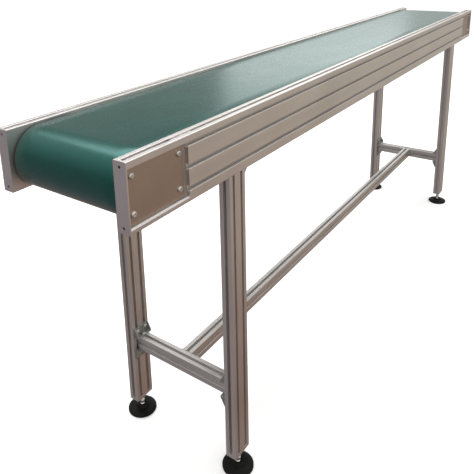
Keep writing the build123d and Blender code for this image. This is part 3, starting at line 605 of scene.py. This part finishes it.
def keep_under_feet(floor):
    """Lowers or raises the floor to the lowest foot, because the feet screw up and down."""
    tree = bpy.data.node_groups.new("floor_under_lowest_foot", "GeometryNodeTree")
    tree.interface.new_socket("Geometry", in_out="INPUT", socket_type="NodeSocketGeometry")
    tree.interface.new_socket("Geometry", in_out="OUTPUT", socket_type="NodeSocketGeometry")
    link = tree.links.new
    lowest = None
    for name, base in NODES.items():
        if not name.startswith("foot_base_"):
            continue
        info = tree.nodes.new("GeometryNodeObjectInfo")
        info.transform_space = "RELATIVE"
        info.inputs["Object"].default_value = base
        extent = tree.nodes.new("GeometryNodeBoundBox")
        corner = tree.nodes.new("ShaderNodeSeparateXYZ")
        link(info.outputs["Geometry"], extent.inputs["Geometry"])
        link(extent.outputs["Min"], corner.inputs["Vector"])
        height = corner.outputs["Z"]
        if lowest is not None:
            least = tree.nodes.new("ShaderNodeMath")
            least.operation = "MINIMUM"
            link(lowest, least.inputs[0])
            link(height, least.inputs[1])
            height = least.outputs["Value"]
        lowest = height
    below = tree.nodes.new("ShaderNodeMath")
    below.operation = "SUBTRACT"
    below.inputs[1].default_value = FLOOR_GAP
    offset = tree.nodes.new("ShaderNodeCombineXYZ")
    move = tree.nodes.new("GeometryNodeSetPosition")
    link(lowest, below.inputs[0])
    link(below.outputs["Value"], offset.inputs["Z"])
    link(tree.nodes.new("NodeGroupInput").outputs["Geometry"], move.inputs["Geometry"])
    link(offset.outputs["Vector"], move.inputs["Offset"])
    link(move.outputs["Geometry"], tree.nodes.new("NodeGroupOutput").inputs["Geometry"])
    floor.modifiers.new("under_feet", "NODES").node_group = tree


def make_floor():
    bm = bmesh.new()
    bmesh.ops.create_grid(bm, x_segments=8, y_segments=8, size=14.0)
    floor = new_object("floor", bm, pale_floor("pale_floor"))
    floor.location = (0.0, 0.0, cad_low.z)
    floor.visible_glossy = False
    floor.visible_diffuse = False
    keep_under_feet(floor)


def softbox(name, place, target, size, power, colour=(1, 1, 1)):
    lamp = bpy.data.lights.new(name, "AREA")
    lamp.shape = "RECTANGLE"
    lamp.size, lamp.size_y = size
    lamp.energy = power
    lamp.color = colour
    made = bpy.data.objects.new(name, lamp)
    made.location = place
    made.rotation_euler = (Vector(target) - Vector(place)).to_track_quat("-Z", "Y").to_euler()
    bpy.context.scene.collection.objects.link(made)


# Dimmer parts of the surroundings: direction, colour, and the cosines where each starts and is
# full.
SHADED = (
    ((0.59, 0.61, 0.53), (0.26, 0.26, 0.26), 0.86, 0.96),
    ((-0.70, 0.53, -0.48), (0.30, 0.27, 0.285), 0.30, 0.80),
)


def make_world():
    """Soft studio surroundings: bright above, dimmer and warmer below, plain white behind."""
    world = bpy.data.worlds.new("studio")
    bpy.context.scene.world = world
    world.use_nodes = True
    tree = world.node_tree
    links = tree.links
    tree.nodes.clear()
    out = tree.nodes.new("ShaderNodeOutputWorld")
    direction = tree.nodes.new("ShaderNodeTexCoord").outputs["Generated"]
    split = tree.nodes.new("ShaderNodeSeparateXYZ")
    shift = tree.nodes.new("ShaderNodeMapRange")
    shift.inputs["From Min"].default_value = -1.0
    ramp = tree.nodes.new("ShaderNodeValToRGB")
    stops = (
        (0.00, (0.16, 0.10, 0.085)),
        (0.12, (0.22, 0.13, 0.105)),
        (0.22, (0.31, 0.20, 0.165)),
        (0.37, (0.54, 0.465, 0.385)),
        (0.50, (0.64, 0.60, 0.545)),
        (0.555, (0.64, 0.61, 0.58)),
        (0.59, (0.95, 0.95, 0.95)),
        (1.00, (1.00, 1.00, 1.00)),
    )
    while len(ramp.color_ramp.elements) < len(stops):
        ramp.color_ramp.elements.new(0.5)
    for element, (position, colour) in zip(ramp.color_ramp.elements, stops):
        element.position = position
        element.color = (*colour, 1.0)
    glow = ramp.outputs["Color"]
    for toward, colour, start, full in SHADED:
        dot = tree.nodes.new("ShaderNodeVectorMath")
        dot.operation = "DOT_PRODUCT"
        dot.inputs[1].default_value = toward
        rise = tree.nodes.new("ShaderNodeMapRange")
        rise.inputs["From Min"].default_value = start
        rise.inputs["From Max"].default_value = full
        shade = tree.nodes.new("ShaderNodeMixRGB")
        shade.inputs["Color2"].default_value = (*colour, 1.0)
        links.new(direction, dot.inputs[0])
        links.new(dot.outputs["Value"], rise.inputs["Value"])
        links.new(rise.outputs["Result"], shade.inputs["Fac"])
        links.new(glow, shade.inputs["Color1"])
        glow = shade.outputs["Color"]
    around = tree.nodes.new("ShaderNodeBackground")
    behind = tree.nodes.new("ShaderNodeBackground")
    behind.inputs["Color"].default_value = (1.0, 1.0, 1.0, 1.0)
    path = tree.nodes.new("ShaderNodeLightPath")
    mix = tree.nodes.new("ShaderNodeMixShader")
    links.new(direction, split.inputs["Vector"])
    links.new(split.outputs["Z"], shift.inputs["Value"])
    links.new(shift.outputs["Result"], ramp.inputs["Fac"])
    links.new(glow, around.inputs["Color"])
    links.new(path.outputs["Is Camera Ray"], mix.inputs["Fac"])
    links.new(around.outputs["Background"], mix.inputs[1])
    links.new(behind.outputs["Background"], mix.inputs[2])
    links.new(mix.outputs["Shader"], out.inputs["Surface"])


def make_camera():
    """Camera low over the tail end on the right-hand side, looking along the conveyor."""
    yaw, pitch, roll = 0.6358, -0.2620, -0.0294
    flat = math.cos(pitch)
    forward = Vector((flat * math.cos(yaw), flat * math.sin(yaw), math.sin(pitch)))
    level = forward.cross(Vector((0, 0, 1))).normalized()
    upright = level.cross(forward)
    right = level * math.cos(roll) + upright * math.sin(roll)
    up = upright * math.cos(roll) - level * math.sin(roll)
    data = bpy.data.cameras.new("camera")
    data.sensor_width = 36.0
    data.lens = 42.41
    data.shift_x = 0.0509
    data.shift_y = -0.2894
    camera = bpy.data.objects.new("camera", data)
    turn = Matrix((right, up, -forward)).transposed().to_4x4()
    camera.matrix_world = Matrix.Translation((-1.8547, -0.8092, 1.2704)) @ turn
    bpy.context.scene.collection.objects.link(camera)
    bpy.context.scene.camera = camera


make_floor()
make_world()
softbox("overhead", (0.4, 0.7, 3.7), (0.0, 0.0, 0.6), (4.5, 2.6), 125)
softbox("far_side", (3.7, 1.9, 2.1), (0.0, 0.0, 0.9), (2.0, 1.0), 10.0)
softbox("near_side", (0.4, -3.6, 1.8), (0.2, 0.0, 0.6), (2.8, 1.8), 9, (1.0, 0.93, 0.86))
softbox("tail_end", (-3.2, -0.2, 2.5), (-1.2, 0.0, 0.8), (2.4, 1.0), 9)
make_camera()
bpy.context.scene.view_settings.view_transform = "Standard"
